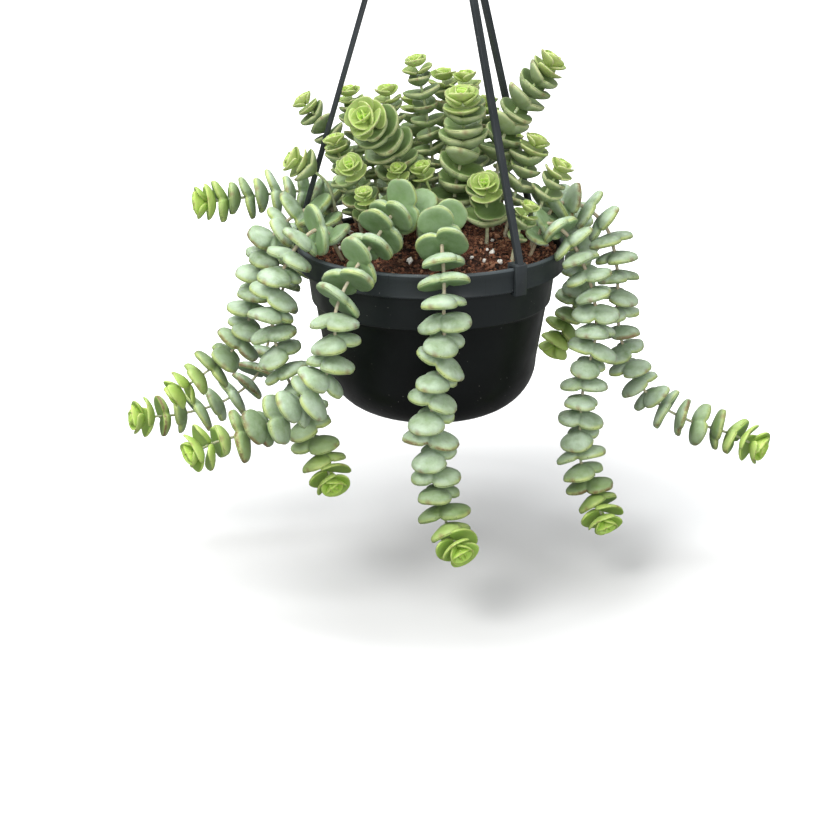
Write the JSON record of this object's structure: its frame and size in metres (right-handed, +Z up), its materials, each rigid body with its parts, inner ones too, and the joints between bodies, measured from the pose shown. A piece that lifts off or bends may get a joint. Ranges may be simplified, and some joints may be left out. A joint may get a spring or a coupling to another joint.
{
  "type": "potted crassula",
  "caption": "Trailing crassula with stacked, paired, fleshy leaves in a round black plastic pot that hangs from a clip-on hanger with a hook.",
  "frame": {"origin": "the hook's seat: the inside top of the hook's bend, where the hanger bears on the bar or hook that holds it", "axes": "+Z up through the hook's seat and the pot's axis, -Y towards the side seen in front, +X to the right of it"},
  "size_m": [0.3476, 0.2129, 0.4028],
  "materials": {
    "pot_plastic": "satin black injection moulded plastic with fine scuffs",
    "hanger_plastic": "charcoal moulded plastic, satin",
    "soil": "damp red-brown coir and peat, matt, crumbly",
    "trailing_leaf": "waxy grey-green to mint succulent leaf, soft sheen",
    "young_leaf": "yellow-green succulent leaf, soft sheen, faint pink edge"
  },
  "bodies": {
    "root": {"hanger": "hanger_plastic", "pot": "pot_plastic", "soil": "soil", "trail_front": "trailing_leaf", "trail_front_left": "trailing_leaf", "trail_left": "trailing_leaf", "trail_low_left": "trailing_leaf", "trail_outer_left": "trailing_leaf", "trail_level_left": "trailing_leaf", "trail_right": "trailing_leaf", "trail_outer_right": "trailing_leaf", "trail_back_right": "trailing_leaf", "trail_back": "trailing_leaf", "trail_back_left": "trailing_leaf", "shoot_a": "young_leaf", "shoot_b": "young_leaf", "shoot_c": "young_leaf", "shoot_d": "young_leaf", "shoot_e": "young_leaf", "shoot_f": "young_leaf", "shoot_g": "young_leaf", "shoot_h": "young_leaf", "shoot_i": "young_leaf", "shoot_j": "young_leaf", "shoot_k": "young_leaf", "shoot_l": "young_leaf", "shoot_m": "young_leaf", "shoot_n": "young_leaf", "shoot_o": "young_leaf", "shoot_p": "young_leaf", "shoot_q": "young_leaf", "shoot_r": "young_leaf", "shoot_s": "young_leaf", "shoot_t": "young_leaf", "shoot_u": "young_leaf", "shoot_v": "young_leaf", "shoot_w": "young_leaf"}
  },
  "joints": []
}
